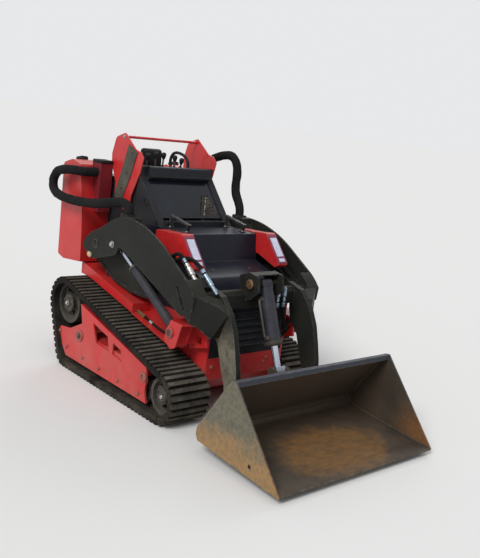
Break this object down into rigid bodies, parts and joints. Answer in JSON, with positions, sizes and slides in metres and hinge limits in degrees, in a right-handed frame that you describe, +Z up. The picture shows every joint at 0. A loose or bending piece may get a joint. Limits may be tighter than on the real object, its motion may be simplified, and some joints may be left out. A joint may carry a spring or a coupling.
{
  "type": "compact tracked loader",
  "caption": "Compact stand-on loader on two rubber tracks, with curved lift arms over a low body, an open bucket ahead and a control console behind a sloping screen.",
  "frame": {"origin": "middle of the outer box at ground level", "axes": "+X forward to the bucket, +Y to the operator's left, +Z up"},
  "size_m": [2.351, 1.066, 1.3667],
  "materials": {
    "red_paint": "gloss, dusty",
    "dark_red_paint": "gloss",
    "black_paint": "semi-gloss, scuffed",
    "arm_paint": "semi-gloss, dusty",
    "track_rubber": "dusty",
    "hose_rubber": "matt",
    "wheel_steel": "painted",
    "worn_steel": "rusty and scoured",
    "chrome": "polished",
    "zinc": "plated",
    "plastic": "grained",
    "pad_vinyl": "soft vinyl",
    "lamp": "clear over reflector",
    "engine": "plain block"
  },
  "bodies": {
    "frame": {"arm_stands": "arm_paint", "console": "plastic", "drive_wheels": "wheel_steel", "engine_block": "engine", "front_door": "black_paint", "front_idlers": "wheel_steel", "fuel_tank": "red_paint", "guard_strips": "arm_paint", "guards": "red_paint", "hood": "black_paint", "hood_handles": "zinc", "hose_sleeve_left": "hose_rubber", "hose_sleeve_right": "hose_rubber", "lamp_lenses": "lamp", "lamp_pods": "red_paint", "levers": "plastic", "lift_brackets": "red_paint", "main_frame": "red_paint", "oil_tank": "red_paint", "rear_body": "black_paint", "road_wheels": "wheel_steel", "screen_frame": "black_paint", "screen_panel": "plastic", "side_box": "dark_red_paint", "thigh_pad": "pad_vinyl", "track_frame_left": "red_paint", "track_frame_right": "red_paint", "track_left": "track_rubber", "track_right": "track_rubber", "track_shelves": "red_paint"},
    "arms": {"loader_arms": "arm_paint", "couplers": "zinc"},
    "tool": {"tool_plate": "worn_steel", "bucket": "worn_steel"},
    "lift_barrel_pair": {"lift_barrels": "black_paint"},
    "lift_rod_pair": {"lift_rods": "chrome"},
    "tilt_tube": {"tilt_barrel": "black_paint"},
    "tilt_shaft": {"tilt_rod": "chrome"},
    "step": {"platform": "black_paint"}
  },
  "joints": [
    {"name": "arm_lift", "type": "hinge", "parent": "frame", "child": "arms", "pos_m": [-0.5425, 0, 0.749], "axis": [0, -1, 0], "range_deg": [0, 74], "deforming": ["hose_sleeve_right", "hose_sleeve_left"]},
    {"name": "tool_tilt", "type": "hinge", "parent": "arms", "child": "tool", "pos_m": [0.5495, 0, 0.165], "axis": [0, -1, 0], "range_deg": [-42, 16]},
    {"name": "lift_swing", "type": "hinge", "parent": "frame", "child": "lift_barrel_pair", "pos_m": [0.2095, 0, 0.45], "axis": [0, -1, 0], "range_deg": [-5.17, 0.2]},
    {"name": "lift_stroke", "type": "slide", "parent": "lift_barrel_pair", "child": "lift_rod_pair", "axis": [-0.8715, 0, 0.4903], "range_m": [-0.001, 0.1959]},
    {"name": "tilt_swing", "type": "hinge", "parent": "arms", "child": "tilt_tube", "pos_m": [0.3885, 0, 0.722], "axis": [0, -1, 0], "range_deg": [-3.27, 8.25]},
    {"name": "tilt_stroke", "type": "slide", "parent": "tilt_tube", "child": "tilt_shaft", "axis": [0.3926, 0, -0.9197], "range_m": [-0.0271, 0.0694]},
    {"name": "platform_fold", "type": "hinge", "parent": "frame", "child": "step", "pos_m": [-0.9155, 0, 0.165], "axis": [0, 1, 0], "range_deg": [0, 78]}
  ],
  "couplings": [
    {"joint": "lift_swing", "follows": "arm_lift", "ratio": -0.067102},
    {"joint": "lift_stroke", "follows": "arm_lift", "m_per_rad": 0.15092},
    {"joint": "tilt_swing", "follows": "tool_tilt", "ratio": -0.19163},
    {"joint": "tilt_stroke", "follows": "tool_tilt", "m_per_rad": -0.093307}
  ]
}
